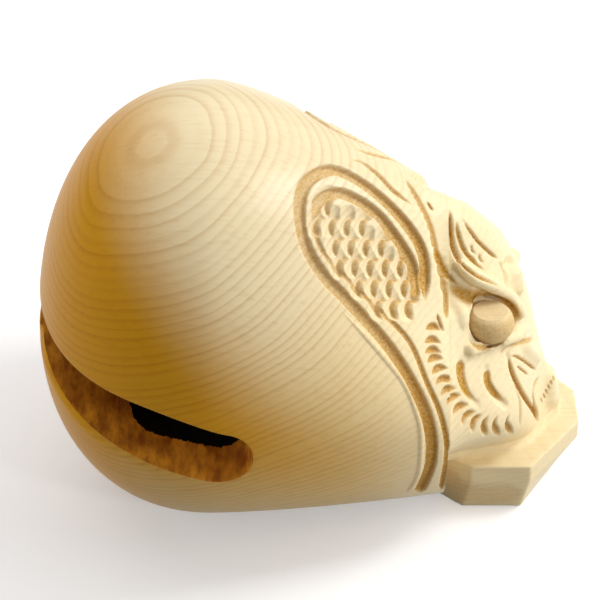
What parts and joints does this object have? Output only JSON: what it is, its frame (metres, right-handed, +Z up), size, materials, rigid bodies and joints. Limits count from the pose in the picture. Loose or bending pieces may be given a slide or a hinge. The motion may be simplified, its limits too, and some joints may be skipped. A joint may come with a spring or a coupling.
{
  "type": "mokugyo wooden fish drum",
  "caption": "Hollow wooden ritual drum with a rounded struck shell, a side-to-side mouth slot, and a handle carved as a dragon's head with pegged eyes and a chin slab.",
  "frame": {"origin": "on the resting surface, under the middle of the object's length and width", "axes": "+X from the mouth slot at the front to the chin of the handle, +Y across to the left flank, +Z up"},
  "size_m": [0.149, 0.122, 0.113],
  "materials": {
    "shell_wood": "satin",
    "handle_wood": "satin",
    "eye_wood": "satin",
    "dowel_wood": "matte"
  },
  "bodies": {
    "root": {"upper_shell": "shell_wood", "lower_shell": "shell_wood", "handle": "handle_wood", "left_eye": "eye_wood", "right_eye": "eye_wood", "rim_dowels": "dowel_wood"}
  },
  "joints": []
}
